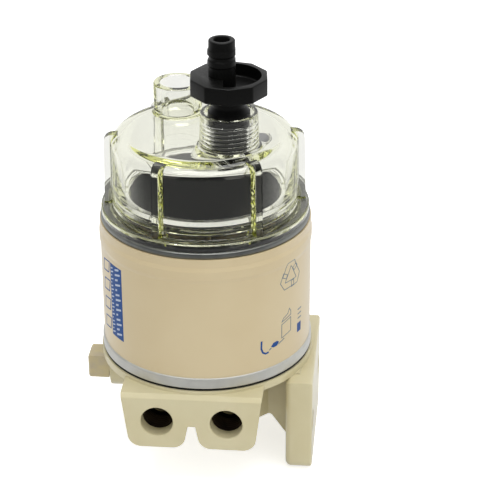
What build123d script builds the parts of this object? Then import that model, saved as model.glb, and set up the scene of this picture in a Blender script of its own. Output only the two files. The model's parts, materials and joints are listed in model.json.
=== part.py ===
from build123d import *
import math
import os

os.makedirs("parts", exist_ok=True)

# Fuel water separator: a cast head, a spin-on filter element and a clear bowl with a drain valve.
# It is modelled about the filter's axis, bowl upwards, with z = 0 at the element's foot.
# At the end every piece moves so that the origin is the middle of the bracket's bolt holes.

# Clearances
thread_gap = 0.3
turning_gap = 0.3
seat_gap = 0.1
press_gap = 0.05

# How far a cut runs past the face that it opens
overcut = 1.0

# Can of the filter element
can_r = 40.0
can_wall = 0.7
can_top = 53.8
bead_drop = 6.5
bead_rise = 0.4
bead_half = 1.6

# Rolled seam at the foot of the can, with its gasket channel
seam_stand = 0.6
seam_width = 2.0
seam_height = 4.5
seam_round = 0.7
sheet = 0.7
channel_width = 5.6
channel_depth = 2.0

# Head gasket
gasket_squeeze = 0.7

# Threaded end plate
plate_thick = 2.8
plate_hub_r = 14.0
plate_hub_rise = 1.6
inlet_count = 8
inlet_r = 3.0
inlet_circle_r = 20.0

# Hollow stud in the head
stud_r = 9.3
stud_bore_r = 6.5
stud_low = -9.5
stud_rise = 10.0

# Filter core
core_gap = 2.7
pleat_root_r = 14.9
pleat_count = 36
paper_radial = 1.6
tube_r = 12.8
tube_wall = 0.8
tube_hole_r = 1.6
tube_hole_rows = 5
tube_hole_columns = 8
cap_sheet = 1.0
cap_skirt = 3.0
cap_lip = 0.8
lower_cap_rise = 2.8
grommet_width = 3.0
core_top_rise = 7.5

# Steel ring with the bowl's female thread, and the rolled rim over it
thread_ring_depth = 9.0
thread_ring_wall = 3.15
rim_inset = 0.4
rim_height = 2.3
rim_round = 0.8

# Clear bowl
spigot_wall = 4.1
spigot_length = 9.8
bowl_wall = 3.0
bowl_height = 32.0
bowl_end_thick = 3.9
bowl_round = 6.0
bowl_inner_round = 3.0
flange_inset = 0.8
flange_thick = 3.0
flange_lip = 0.8
flange_round = 0.8
rib_count = 6
rib_width = 4.0
rib_angle = -52.4
rib_foot_rise = 2.8
rib_head_rise = 2.2
rib_head_drop = 0.8
rib_round = 3.0

# Flat seal between bowl and rim
bowl_seal_thick = 1.3

# Drain boss, and the sensor boss opposite it
boss_angle = -51.4
drain_offset = 17.0
drain_boss_foot_r = 11.0
drain_boss_head_r = 10.5
drain_boss_height = 12.9
drain_bore_r = 8.0
drain_floor_rise = 1.8
drain_hole_r = 4.8
sensor_angle = 125.6
sensor_offset = 20.3
sensor_r = 9.2
sensor_height = 12.0
sensor_bore_r = 6.6

# Drain valve
valve_turn = 5.6
nose_bore_r = 2.6
passage_overlap = 1.0
nose_drop = 1.4
valve_seal_section = 1.6
collar_height = 1.2
neck_r = 6.1
neck_flare = 2.5
neck_height = 6.3
knob_sides = 10
knob_r = 14.5
knob_height = 6.4
knob_edge = 0.5
knob_wall = 2.0
pocket_depth = 4.9
pocket_side = -2.0
barb_shift = 2.4
barb_r = 4.87
barb_bore_r = 2.85
barb_height = 13.6
barb_ring_rise = 0.3
barb_ring_shift = 0.25
barb_ring_height = 2.2
barb_ring_drops = (3.4, 7.3)

# Head casting
land_stand = 1.0
land_thick = 3.1
block_x = -1.6
block_half_top = 26.6
block_half_foot = 23.7
block_stand = 2.0
block_top_z = -2.0
block_foot_z = -24.6
block_round = 5.0
block_slope = 1.5
port_spacing = 26.2
port_z = -13.55
port_r = 6.1
port_depth = 14.0
port_chamfer = 0.3
passage_r = 3.9
notch_top_z = -15.1
notch_half_top = 1.45
notch_half_foot = 3.2
notch_depth = 26.0
notch_round = 5.0
chamber_inner_r = 13.5
chamber_outer_r = 25.0
chamber_floor_z = -7.0
feed_r = 3.5
centre_bore_floor_z = -20.0

# Bracket flange of the casting
bracket_face_x = 42.9
bracket_thick = 10.2
bracket_half_width = 27.0
bracket_top_z = -3.8
bracket_foot_z = -43.1
bracket_corner = 5.0
bracket_inner_edge = 2.2
bracket_outer_edge = 1.0
deck_rise = 0.4
deck_thick = 3.4
deck_half_width = 20.0
web_half_width = 13.5
web_arch_x = 26.2
web_arch_z = -26.0
web_foot_rise = 7.6
web_root_x = 20.0
web_blend = 3.0
web_round = 2.0
bolt_hole_r = 4.25
bolt_spacing = 41.0

# Side boss and its plug
side_boss_x = -37.8
side_boss_r = 9.0
side_z = -13.4
side_bore_r = 4.9
plug_across = 9.5
plug_head = 8.2
plug_gap = 1.0
plug_shank = 9.0
plug_edge = 0.6
rear_plug_length = 9.0
rear_plug_recess = 1.0
rear_socket = 5.0
rear_socket_depth = 5.0

# Places that follow from the sizes above
land_z = -seat_gap - gasket_squeeze
land_r = can_r + land_stand
block_face_y = land_r + block_stand
stud_high = land_z + stud_rise
bead_z = can_top - bead_drop
seam_r = can_r + seam_stand
seam_inner_r = seam_r - seam_width
channel_inner_r = seam_inner_r - channel_width
channel_roof_z = channel_depth
plate_low = channel_roof_z + sheet + seat_gap
plate_high = plate_low + plate_thick
can_bore_r = can_r - can_wall
rim_low = can_top
rim_high = rim_low + rim_height
rim_r = can_r - rim_inset
thread_ring_r = can_bore_r - press_gap
thread_ring_high = rim_low - seat_gap
thread_ring_low = thread_ring_high - thread_ring_depth
ring_bore_r = thread_ring_r - thread_ring_wall
bowl_thread_r = ring_bore_r - thread_gap
bowl_bore_r = bowl_thread_r - spigot_wall
bowl_r = bowl_bore_r + bowl_wall
bowl_foot_z = rim_high - spigot_length
bowl_end_z = rim_high + bowl_height
cavity_top = bowl_end_z - bowl_end_thick
core_top = rim_high + core_top_rise
core_r = bowl_bore_r - core_gap - cap_lip
lower_cap_z = plate_high + lower_cap_rise
lower_cap_top = lower_cap_z + cap_sheet
core_low = lower_cap_top + seat_gap
upper_cap_low = core_top - cap_sheet
core_high = upper_cap_low - seat_gap
flange_r = can_r - flange_inset
rib_foot_r = bowl_r + rib_foot_rise
rib_head_r = bowl_r + rib_head_rise
seal_low = rim_high + seat_gap
seal_high = seal_low + bowl_seal_thick
flange_low = rim_high + 2 * seat_gap
flange_high = flange_low + flange_thick
seal_roof = seal_high + seat_gap
seal_inner_r = bowl_thread_r + turning_gap
seal_groove_r = flange_r - flange_lip
seal_outer_r = seal_groove_r - turning_gap
drain_x = drain_offset * math.cos(math.radians(boss_angle))
drain_y = drain_offset * math.sin(math.radians(boss_angle))
sensor_x = sensor_offset * math.cos(math.radians(sensor_angle))
sensor_y = sensor_offset * math.sin(math.radians(sensor_angle))
drain_mouth_z = bowl_end_z + drain_boss_height
drain_floor_z = bowl_end_z - drain_floor_rise
valve_thread_r = drain_bore_r - thread_gap
nose_r = drain_hole_r - thread_gap
valve_shoulder_z = drain_floor_z + valve_seal_section + 2 * seat_gap
knob_low = drain_mouth_z + collar_height + neck_height
knob_high = knob_low + knob_height
pocket_r = knob_r * math.cos(math.pi / knob_sides) - knob_wall
barb_top = knob_high + barb_height
bracket_inner_x = bracket_face_x - bracket_thick
deck_top_z = bracket_top_z + deck_rise
web_foot_z = bracket_foot_z + web_foot_rise
bolt_z = (bracket_top_z + bracket_foot_z) / 2
port_left_x = block_x - port_spacing / 2
port_right_x = block_x + port_spacing / 2


def profile(points):
    return make_face(Polyline(*points, close=True))


def softened(face, radius, *corners):
    chosen = [face.vertices().sort_by_distance((x, y, 0))[0] for x, y in corners]
    return fillet(chosen, radius)


def turned(face):
    return revolve(Plane.XZ * face, Axis.Z)


def ring(outer, inner, low, high):
    return turned(profile([(inner, low), (outer, low), (outer, high), (inner, high)]))


def rod(radius, low, high, x=0.0, y=0.0):
    return Pos(x, y, low) * extrude(Circle(radius), high - low)


def rod_y(radius, y_start, y_end, x, z):
    low = min(y_start, y_end)
    return Pos(x, low, z) * Rot(-90, 0, 0) * extrude(Circle(radius), abs(y_end - y_start))


def rod_x(radius, x_start, x_end, y, z):
    low = min(x_start, x_end)
    return Pos(low, y, z) * Rot(0, 90, 0) * extrude(Circle(radius), abs(x_end - x_start))


def cone_y(wide_r, narrow_r, y_face, direction, x, z):
    length = wide_r - narrow_r
    middle = y_face - direction * length / 2
    return Pos(x, middle, z) * Rot(-90 * direction, 0, 0) * Cone(narrow_r, wide_r, length)


def along_y(face, y_start, y_end):
    low = min(y_start, y_end)
    return Pos(0, low, 0) * extrude(Plane.XZ * face, -abs(y_end - y_start))


# Head

def block_outline():
    left_top = (block_x - block_half_top, block_top_z)
    right_top = (block_x + block_half_top, block_top_z)
    left_foot = (block_x - block_half_foot, block_foot_z)
    right_foot = (block_x + block_half_foot, block_foot_z)
    face = profile([left_top, left_foot, right_foot, right_top])
    return softened(face, block_round, left_foot, right_foot)


def lobes_outline():
    foot_z = block_foot_z - overcut
    notch = profile([
        (block_x - notch_half_top, notch_top_z),
        (block_x - notch_half_foot, block_foot_z),
        (block_x - notch_half_foot, foot_z),
        (block_x + notch_half_foot, foot_z),
        (block_x + notch_half_foot, block_foot_z),
        (block_x + notch_half_top, notch_top_z),
    ])
    left = (block_x - notch_half_foot, block_foot_z)
    right = (block_x + notch_half_foot, block_foot_z)
    return softened(block_outline() - notch, notch_round, left, right)


def slope_cut(side):
    face_y = side * block_face_y
    reach = block_slope + overcut
    points = [
        (face_y - side * reach, block_top_z + overcut),
        (face_y + side * overcut, block_top_z + overcut),
        (face_y + side * overcut, block_top_z - reach),
    ]
    length = 2 * (block_half_top + overcut)
    cut = extrude(Plane.YZ * profile(points), length)
    return Pos(block_x - length / 2, 0, 0) * cut


def port_cut(x, side):
    face_y = side * block_face_y
    bore = rod_y(port_r, face_y, face_y - side * port_depth, x, port_z)
    return bore + cone_y(port_r + port_chamfer, port_r, face_y, side, x, port_z)


def web():
    arch = (web_arch_x, web_arch_z)
    points = [
        (block_x, deck_top_z - deck_thick / 2),
        (bracket_inner_x + overcut, deck_top_z - deck_thick / 2),
        (bracket_inner_x + overcut, web_foot_z),
        (bracket_inner_x, web_foot_z),
        arch,
        (web_root_x, web_arch_z),
        (block_x, block_foot_z + block_round),
    ]
    face = softened(profile(points), web_round, arch)
    wide = web_half_width + web_blend
    root_x = block_x + block_half_foot
    plan = profile([
        (block_x, -wide),
        (root_x, -wide),
        (root_x + web_blend, -web_half_width),
        (bracket_inner_x + overcut, -web_half_width),
        (bracket_inner_x + overcut, web_half_width),
        (root_x + web_blend, web_half_width),
        (root_x, wide),
        (block_x, wide),
    ])
    column = Pos(0, 0, web_foot_z) * extrude(plan, deck_top_z - web_foot_z)
    return along_y(face, -wide, wide) & column


def bracket_flange():
    height = bracket_top_z - bracket_foot_z
    middle_z = (bracket_top_z + bracket_foot_z) / 2
    face = Rectangle(2 * bracket_half_width, height)
    feet = face.vertices().group_by(Axis.Y)[0]
    face = fillet(feet, bracket_corner)
    plate = extrude(Plane.YZ * face, bracket_thick)
    plate = Pos(bracket_inner_x, 0, middle_z) * plate
    inner_face = plate.faces().sort_by(Axis.X)[0]
    plate = fillet(inner_face.edges(), bracket_inner_edge)
    outer_face = plate.faces().sort_by(Axis.X)[-1]
    return fillet(outer_face.edges(), bracket_outer_edge)


def head_casting():
    body = ring(land_r, 0, land_z - land_thick, land_z)
    block = along_y(lobes_outline(), -block_face_y, block_face_y)
    block = block - slope_cut(-1) - slope_cut(1)
    middle_y = block_face_y - notch_depth
    block = block + along_y(block_outline(), -middle_y, middle_y)
    deck_length = bracket_inner_x + bracket_thick / 2 - block_x
    deck = Box(deck_length, 2 * deck_half_width, deck_thick)
    deck = Pos(block_x + deck_length / 2, 0, deck_top_z - deck_thick / 2) * deck
    side_boss = rod_x(side_boss_r, side_boss_x, block_x, 0, side_z)
    body = body + block + deck + web() + bracket_flange() + side_boss
    for x in (port_left_x, port_right_x):
        body = body - port_cut(x, -1) - port_cut(x, 1)
        body = body - rod_y(passage_r, -block_face_y, block_face_y, x, port_z)
    body = body - ring(chamber_outer_r, chamber_inner_r, chamber_floor_z, land_z + overcut)
    body = body - rod(feed_r, port_z, chamber_floor_z + overcut, port_left_x, inlet_circle_r / 2)
    body = body - rod(stud_r + press_gap, stud_low, land_z + overcut)
    body = body - rod(stud_bore_r, centre_bore_floor_z, stud_low)
    body = body - rod_x(feed_r, 0, port_right_x, 0, port_z)
    body = body - rod_x(side_bore_r + press_gap, side_boss_x - overcut, port_left_x, 0, side_z)
    for side in (-1, 1):
        y = side * bolt_spacing / 2
        hole = rod_x(bolt_hole_r, bracket_inner_x - overcut, bracket_face_x + overcut, y, bolt_z)
        body = body - hole
    return body


def centre_stud():
    return ring(stud_r, stud_bore_r, stud_low, stud_high)


def side_plug():
    head_high = side_boss_x - plug_gap
    head_low = head_high - plug_head
    head = Box(plug_head, plug_across, plug_across)
    end = head.faces().sort_by(Axis.X)[0]
    head = chamfer(end.edges(), plug_edge)
    head = Pos((head_low + head_high) / 2, 0, side_z) * head
    return head + rod_x(side_bore_r, head_high, side_boss_x + plug_shank, 0, side_z)


def rear_plug(x):
    outer_y = block_face_y - rear_plug_recess
    inner_y = outer_y - rear_plug_length
    plug = rod_y(port_r - press_gap, inner_y, outer_y, x, port_z)
    socket = Box(rear_socket, rear_socket_depth, rear_socket)
    return plug - Pos(x, outer_y - rear_socket_depth / 2, port_z) * socket


def head_gasket():
    inner = channel_inner_r + turning_gap
    outer = seam_inner_r - turning_gap
    return ring(outer, inner, land_z + seat_gap, channel_roof_z - seat_gap)


# Filter element

def seam_lid():
    middle_r = seam_r - seam_width / 2
    roll = Pos(middle_r, seam_height / 2) * RectangleRounded(seam_width, seam_height, seam_round)
    leg_r = channel_inner_r - sheet
    points = [
        (leg_r, plate_hub_rise / 2),
        (channel_inner_r, plate_hub_rise / 2),
        (channel_inner_r, channel_roof_z),
        (middle_r, channel_roof_z),
        (middle_r, channel_roof_z + sheet),
        (leg_r, channel_roof_z + sheet),
    ]
    return turned(roll + profile(points))


def threaded_plate():
    bore_r = stud_r + thread_gap
    plate = ring(seam_inner_r - press_gap, bore_r, plate_low, plate_high)
    plate = plate + ring(plate_hub_r, bore_r, plate_low - plate_hub_rise, plate_high)
    for place in PolarLocations(inlet_circle_r, inlet_count):
        plate = plate - place * Cylinder(inlet_r, 4 * plate_high)
    return plate


def can_shell():
    outer = [
        (can_r, seam_height),
        (can_r, bead_z - 2 * bead_half),
        (can_r + bead_rise, bead_z - bead_half),
        (can_r + bead_rise, bead_z + bead_half),
        (can_r, bead_z + 2 * bead_half),
        (can_r, can_top),
    ]
    inner = [(r - can_wall, z) for r, z in reversed(outer)]
    return turned(profile(outer + inner))


def thread_ring():
    return ring(thread_ring_r, ring_bore_r, thread_ring_low, thread_ring_high)


def rim_ring():
    width = rim_r - ring_bore_r
    middle = Pos(rim_r - width / 2, rim_low + rim_height / 2)
    face = middle * Rectangle(width, rim_height)
    return turned(softened(face, rim_round, (rim_r, rim_low), (rim_r, rim_high)))


def star(peak_r, root_r):
    points = []
    for step in range(2 * pleat_count):
        radius = peak_r if step % 2 == 0 else root_r
        angle = math.pi * step / pleat_count
        points.append((radius * math.cos(angle), radius * math.sin(angle)))
    return profile(points)


def pleated_media():
    outside = star(core_r - cap_lip, pleat_root_r)
    inside = star(core_r - cap_lip - 2 * paper_radial, pleat_root_r - paper_radial)
    return Pos(0, 0, core_low) * extrude(outside - inside, core_high - core_low)


def perforated_tube():
    tube = ring(tube_r, tube_r - tube_wall, core_low, core_high)
    row_step = (core_high - core_low) / (tube_hole_rows + 1)
    hole = Rot(0, 90, 0) * Cylinder(tube_hole_r, 4 * tube_wall)
    for row in range(1, tube_hole_rows + 1):
        for place in PolarLocations(tube_r, tube_hole_columns):
            tube = tube - Pos(0, 0, core_low + row * row_step) * place * hole
    return tube


def head_side_cap():
    bore_r = stud_r + thread_gap + grommet_width + press_gap
    floor = ring(core_r + cap_lip, bore_r, lower_cap_z, lower_cap_top)
    skirt = ring(core_r + cap_lip, core_r, lower_cap_z, lower_cap_top + cap_skirt)
    return floor + skirt


def bowl_side_cap():
    cap_r = core_r + cap_lip
    disc = ring(cap_r, 0, upper_cap_low, core_top)
    return disc + ring(cap_r, core_r, upper_cap_low - cap_skirt, core_top)


def stud_grommet():
    bore_r = stud_r + thread_gap
    sleeve = ring(bore_r + grommet_width, bore_r, plate_high + seat_gap, lower_cap_top)
    foot_high = lower_cap_z - seat_gap
    return sleeve + ring(bore_r + 2 * grommet_width, bore_r, plate_high + seat_gap, foot_high)


# Bowl

def bowl_outside():
    end_corner = (bowl_r, bowl_end_z)
    flange_corner = (flange_r, flange_high)
    points = [
        (0, bowl_foot_z),
        (bowl_thread_r, bowl_foot_z),
        (bowl_thread_r, seal_roof),
        (seal_groove_r, seal_roof),
        (seal_groove_r, flange_low),
        (flange_r, flange_low),
        flange_corner,
        (bowl_r, flange_high),
        end_corner,
        (0, bowl_end_z),
    ]
    face = softened(profile(points), bowl_round, end_corner)
    return turned(softened(face, flange_round, flange_corner))


def bowl_rib(angle):
    head_z = bowl_end_z - rib_head_drop
    corner = (rib_head_r, head_z)
    points = [
        (bowl_bore_r, seal_roof),
        (rib_foot_r, seal_roof),
        corner,
        (bowl_bore_r - bowl_inner_round, head_z),
        (bowl_bore_r - bowl_inner_round, cavity_top),
    ]
    face = softened(profile(points), rib_round, corner)
    rib = along_y(face, -rib_width / 2, rib_width / 2)
    return Rot(0, 0, angle) * rib


def bowl_cavity():
    corner = (bowl_bore_r, cavity_top)
    foot = bowl_foot_z - overcut
    points = [(0, foot), (bowl_bore_r, foot), corner, (0, cavity_top)]
    return turned(softened(profile(points), bowl_inner_round, corner))


def bowl():
    body = bowl_outside()
    for index in range(rib_count):
        body = body + bowl_rib(rib_angle + index * 360 / rib_count)
    boss = Cone(drain_boss_foot_r, drain_boss_head_r, drain_boss_height)
    body = body + Pos(drain_x, drain_y, bowl_end_z + drain_boss_height / 2) * boss
    body = body + rod(sensor_r, bowl_end_z, bowl_end_z + sensor_height, sensor_x, sensor_y)
    body = body - bowl_cavity()
    body = body - rod(drain_bore_r, drain_floor_z, drain_mouth_z, drain_x, drain_y)
    body = body - rod(drain_hole_r, cavity_top, drain_floor_z, drain_x, drain_y)
    sensor_mouth = bowl_end_z + sensor_height
    return body - rod(sensor_bore_r, bowl_end_z, sensor_mouth, sensor_x, sensor_y)


def bowl_seal():
    return ring(seal_outer_r, seal_inner_r, seal_low, seal_high)


# Drain valve

def knob_prism():
    flat_to_side = Rot(0, 0, 180 / knob_sides)
    prism = extrude(flat_to_side * RegularPolygon(knob_r, knob_sides), knob_height)
    rims = prism.edges().group_by(Axis.Z)
    return chamfer(rims[0] + rims[-1], knob_edge)


def knob_pocket():
    disc = Circle(pocket_r)
    wide = 2 * knob_r
    keep = Pos(pocket_side + wide / 2, 0) * Rectangle(wide, wide)
    return Pos(0, 0, knob_height - pocket_depth) * extrude(disc & keep, pocket_depth)


def drain_valve():
    knob = Pos(0, 0, knob_low) * (knob_prism() - knob_pocket())
    collar_low = drain_mouth_z - collar_height
    neck_low = drain_mouth_z + neck_flare
    neck_points = [
        (0, collar_low),
        (valve_thread_r, collar_low),
        (valve_thread_r, drain_mouth_z),
        (neck_r, neck_low),
        (neck_r, knob_low + knob_edge),
        (0, knob_low + knob_edge),
    ]
    body = knob + turned(profile(neck_points))
    body = body + rod(valve_thread_r, valve_shoulder_z, collar_low)
    body = body + rod(nose_r, cavity_top - nose_drop, valve_shoulder_z)
    pocket_floor = knob_high - pocket_depth
    body = body + rod(barb_r, pocket_floor, barb_top, -barb_shift)
    ring_r = barb_r + barb_ring_rise
    for drop in barb_ring_drops:
        ring_high = barb_top - drop
        ring_low = ring_high - barb_ring_height
        body = body + rod(ring_r, ring_low, ring_high, -barb_shift - barb_ring_shift)
    body = body - rod(barb_bore_r, knob_low, barb_top, -barb_shift)
    body = body - rod(nose_bore_r, cavity_top - nose_drop, knob_low + passage_overlap)
    return Pos(drain_x, drain_y, 0) * Rot(0, 0, valve_turn) * body


def drain_seal():
    middle_r = nose_r + turning_gap + valve_seal_section / 2
    section = Pos(middle_r, drain_floor_z + seat_gap + valve_seal_section / 2)
    seal = turned(section * Circle(valve_seal_section / 2))
    return Pos(drain_x, drain_y, 0) * seal


def main():
    pieces = {
        "head_casting": head_casting(),
        "centre_stud": centre_stud(),
        "side_port_plug": side_plug(),
        "rear_port_plug_left": rear_plug(port_left_x),
        "rear_port_plug_right": rear_plug(port_right_x),
        "head_gasket": head_gasket(),
        "seam_lid": seam_lid(),
        "threaded_plate": threaded_plate(),
        "can_shell": can_shell(),
        "bowl_thread_ring": thread_ring(),
        "rim_ring": rim_ring(),
        "pleated_media": pleated_media(),
        "perforated_tube": perforated_tube(),
        "head_side_cap": head_side_cap(),
        "bowl_side_cap": bowl_side_cap(),
        "stud_grommet": stud_grommet(),
        "clear_bowl": bowl(),
        "bowl_seal": bowl_seal(),
        "drain_valve": drain_valve(),
        "drain_seal": drain_seal(),
    }
    to_origin = Pos(-bracket_face_x, 0, -bolt_z)
    for name, shape in pieces.items():
        export_step(to_origin * shape, f"parts/{name}.step")


main()
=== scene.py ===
# %% [markdown]
# A fuel water separator stands with its bowl upwards: a painted casting at the foot, a spin-on
# can above it, and a clear bowl with a black drain valve on top. The solids come from the packed
# model, which is loaded first and never moved. Blender adds the finishes and models two pieces
# again that need more than a plain solid: the clear bowl and the valve. It also adds what has no
# solid at all: the print on the can, a black gasket edge that also paints the shade in the gap
# under the seam, and threaded sleeves in the two front ports whose near-black is painted shade.

# %% Load the fixed frame
import json
import math

import bpy
from mathutils import Matrix, Vector


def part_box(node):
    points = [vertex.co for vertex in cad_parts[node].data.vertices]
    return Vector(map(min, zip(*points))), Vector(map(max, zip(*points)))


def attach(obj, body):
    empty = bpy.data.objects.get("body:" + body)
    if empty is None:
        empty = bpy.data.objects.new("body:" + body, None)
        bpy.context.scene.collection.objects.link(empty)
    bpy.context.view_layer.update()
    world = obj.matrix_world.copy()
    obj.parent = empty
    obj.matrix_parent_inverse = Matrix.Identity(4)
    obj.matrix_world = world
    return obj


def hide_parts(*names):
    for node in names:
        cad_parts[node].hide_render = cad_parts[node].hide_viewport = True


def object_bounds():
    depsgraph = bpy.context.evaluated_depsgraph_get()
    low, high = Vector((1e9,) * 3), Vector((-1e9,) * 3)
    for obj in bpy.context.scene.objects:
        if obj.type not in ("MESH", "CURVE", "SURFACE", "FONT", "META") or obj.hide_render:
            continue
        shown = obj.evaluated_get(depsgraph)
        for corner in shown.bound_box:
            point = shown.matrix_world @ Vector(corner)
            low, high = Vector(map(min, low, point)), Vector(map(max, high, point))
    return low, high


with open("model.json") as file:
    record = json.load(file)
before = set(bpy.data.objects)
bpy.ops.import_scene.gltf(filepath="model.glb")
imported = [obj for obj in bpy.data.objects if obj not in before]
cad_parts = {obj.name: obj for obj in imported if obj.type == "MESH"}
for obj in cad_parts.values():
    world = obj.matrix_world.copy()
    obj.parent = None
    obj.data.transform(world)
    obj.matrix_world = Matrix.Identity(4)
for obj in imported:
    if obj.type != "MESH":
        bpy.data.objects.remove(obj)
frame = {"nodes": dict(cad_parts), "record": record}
cad_low, cad_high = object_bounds()
nodes = frame["nodes"]
bpy.ops.object.select_all(action="DESELECT")
print("solids:", len(nodes))

# %% [markdown]
# Every place below is measured from the filter's own axis and from the foot of the can, in
# millimetres, as a turner would mark it. One function turns such a place into metres in the
# frame.

# %% Places that the frame gives
MM = 0.001
can_low, can_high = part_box("can_shell")
seam_low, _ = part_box("seam_lid")
bowl_low, bowl_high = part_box("clear_bowl")
rim_low, rim_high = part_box("rim_ring")
seal_low, seal_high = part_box("drain_seal")
_, valve_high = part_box("drain_valve")
AXIS = Vector(((can_low.x + can_high.x) / 2, (can_low.y + can_high.y) / 2, seam_low.z))


def at(x, y, z):
    return AXIS + Vector((x, y, z)) * MM


def height(z):
    return (z - AXIS.z) / MM


RIM_FOOT = height(rim_low.z)
RIM_TOP = height(rim_high.z)
BOWL_FOOT = height(bowl_low.z)
BOSS_TOP = height(bowl_high.z)
SEAL_TOP = height(seal_high.z)
VALVE_TOP = height(valve_high.z)
DRAIN = ((seal_low + seal_high) / 2 - AXIS) / MM
ports = {mount["name"]: (Vector(mount["pos_m"]) - AXIS) / MM for mount in frame["record"]["mounts"]}
SENSOR = ports["sensor_port"]
print("rim top", round(RIM_TOP, 2), "bowl", round(BOWL_FOOT, 2), "to", round(BOSS_TOP, 2))

# %% [markdown]
# The photograph was taken with a long lens, from 27 degrees above the level and a few degrees to
# the right of the front. The camera's place was fitted to the outlines, so a render can be laid
# over it.

# %% Camera
FRAME_HEIGHT_PX = 500
FOCAL_PX = 1800
SENSOR_MM = 36.0
EYE = (70.8, -610.2, 350.8)
LOOK_DOWN = math.radians(27.02)
TURN = math.radians(5.3)
ROLL = math.radians(-0.26)

bpy.ops.object.camera_add()
camera = bpy.context.object
camera.data.sensor_width = SENSOR_MM
camera.data.lens = FOCAL_PX / FRAME_HEIGHT_PX * SENSOR_MM
turned = Matrix.Rotation(TURN, 4, "Z")
tipped = Matrix.Rotation(math.pi / 2 - LOOK_DOWN, 4, "X")
rolled = Matrix.Rotation(ROLL, 4, "Z")
camera.matrix_world = Matrix.Translation(at(*EYE)) @ turned @ tipped @ rolled
bpy.context.scene.camera = camera
print("lens", round(camera.data.lens, 1), "mm")

# %% [markdown]
# A material is a small tree of nodes. One function adds a node with its settings and links, and
# another turns a colour as a designer writes it into the linear numbers that light is reckoned
# in. The rest are short names for what every finish needs: a noise, and what is made from it,
# which may be a mix of two colours, a spread of roughness or a bumpy skin. A noise seldom leaves
# its middle values, so only those are stretched over the whole mix.

# %% Helpers for materials
MIX_STARTS, MIX_ENDS = 0.35, 0.65
SPREAD_STARTS, SPREAD_ENDS = 0.3, 0.7


def colour(code):
    parts = [int(code[i:i + 2], 16) / 255 for i in (1, 3, 5)]
    linear = [p / 12.92 if p <= 0.04045 else ((p + 0.055) / 1.055) ** 2.4 for p in parts]
    return (*linear, 1.0)


def add(tree, kind, inputs=None, **settings):
    made = tree.nodes.new(kind)
    for name, value in settings.items():
        setattr(made, name, value)
    for socket, value in (inputs or {}).items():
        if isinstance(value, bpy.types.NodeSocket):
            tree.links.new(value, made.inputs[socket])
        else:
            made.inputs[socket].default_value = value
    return made


def material(name):
    made = bpy.data.materials.new(name)
    made.use_nodes = True
    made.node_tree.nodes.clear()
    return made, made.node_tree


def finish_with(tree, shader, volume=None):
    inputs = {"Surface": shader}
    if volume:
        inputs["Volume"] = volume
    add(tree, "ShaderNodeOutputMaterial", inputs)


def finish_principled(tree, inputs, volume=None):
    shader = add(tree, "ShaderNodeBsdfPrincipled", inputs)
    finish_with(tree, shader.outputs[0], volume)


def grain(tree, size_mm, detail=2.0, stretch=(1, 1, 1)):
    place = add(tree, "ShaderNodeTexCoord").outputs["Object"]
    mapped = add(tree, "ShaderNodeMapping", {"Vector": place, "Scale": stretch})
    inputs = {"Vector": mapped.outputs["Vector"], "Scale": 1 / (size_mm * MM), "Detail": detail}
    return add(tree, "ShaderNodeTexNoise", inputs).outputs["Fac"]


def bumped(tree, fac, depth_mm, strength=0.5, normal=None):
    inputs = {"Height": fac, "Distance": depth_mm * MM, "Strength": strength}
    if normal:
        inputs["Normal"] = normal
    return add(tree, "ShaderNodeBump", inputs).outputs["Normal"]


def between(tree, fac, low, high):
    ramp = add(tree, "ShaderNodeValToRGB", {"Fac": fac})
    stops = ramp.color_ramp.elements
    for stop, position, code in zip(stops, (MIX_STARTS, MIX_ENDS), (low, high)):
        stop.position = position
        stop.color = colour(code)
    return ramp.outputs["Color"]


def ranged(tree, value, start, end, low, high, **settings):
    inputs = {"Value": value, "From Min": start, "From Max": end, "To Min": low, "To Max": high}
    return add(tree, "ShaderNodeMapRange", inputs, **settings).outputs["Result"]


def spread(tree, fac, low, high):
    return ranged(tree, fac, SPREAD_STARTS, SPREAD_ENDS, low, high)


# %% [markdown]
# The studio is white behind the object and dark in front of it, where the photographer stands.
# The camera sees a white world. Gloss and clear plastic see the same white behind the object, and
# it fades to grey towards the front, which is what draws the edges of the clear bowl.

# %% World
WHITE = colour("#FFFFFF")
FRONT_GREY = 0.12
BACK_WHITE = 0.86
GREY_ENDS = -0.3
WHITE_STARTS = 0.75
SOFT_LIGHT = 0.46


def ray_kinds(tree):
    path = add(tree, "ShaderNodeLightPath").outputs
    mirrored_or_bent = {0: path["Is Glossy Ray"], 1: path["Is Transmission Ray"]}
    gloss = add(tree, "ShaderNodeMath", mirrored_or_bent, operation="MAXIMUM")
    return path["Is Camera Ray"], gloss.outputs[0]


def front_to_back(tree, coordinates):
    place = add(tree, "ShaderNodeTexCoord").outputs[coordinates]
    return add(tree, "ShaderNodeSeparateXYZ", {"Vector": place}).outputs["Y"]


def glow(tree, kind, strength):
    return add(tree, kind, {"Color": WHITE, "Strength": strength}).outputs[0]


def choose(tree, fac, if_not, if_so):
    return add(tree, "ShaderNodeMixShader", {0: fac, 1: if_not, 2: if_so}).outputs[0]


def make_world():
    world = bpy.data.worlds.new("soft white studio")
    world.use_nodes = True
    tree = world.node_tree
    tree.nodes.clear()
    camera_ray, gloss_ray = ray_kinds(tree)
    span = (front_to_back(tree, "Generated"), GREY_ENDS, WHITE_STARTS, FRONT_GREY, BACK_WHITE)
    depth = ranged(tree, *span, interpolation_type="SMOOTHSTEP")
    soft = glow(tree, "ShaderNodeBackground", SOFT_LIGHT)
    studio = glow(tree, "ShaderNodeBackground", depth)
    white = glow(tree, "ShaderNodeBackground", 1.0)
    unseen = choose(tree, gloss_ray, soft, studio)
    add(tree, "ShaderNodeOutputWorld", {"Surface": choose(tree, camera_ray, unseen, white)})
    bpy.context.scene.world = world


make_world()
bpy.context.scene.view_settings.view_transform = "Standard"

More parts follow.
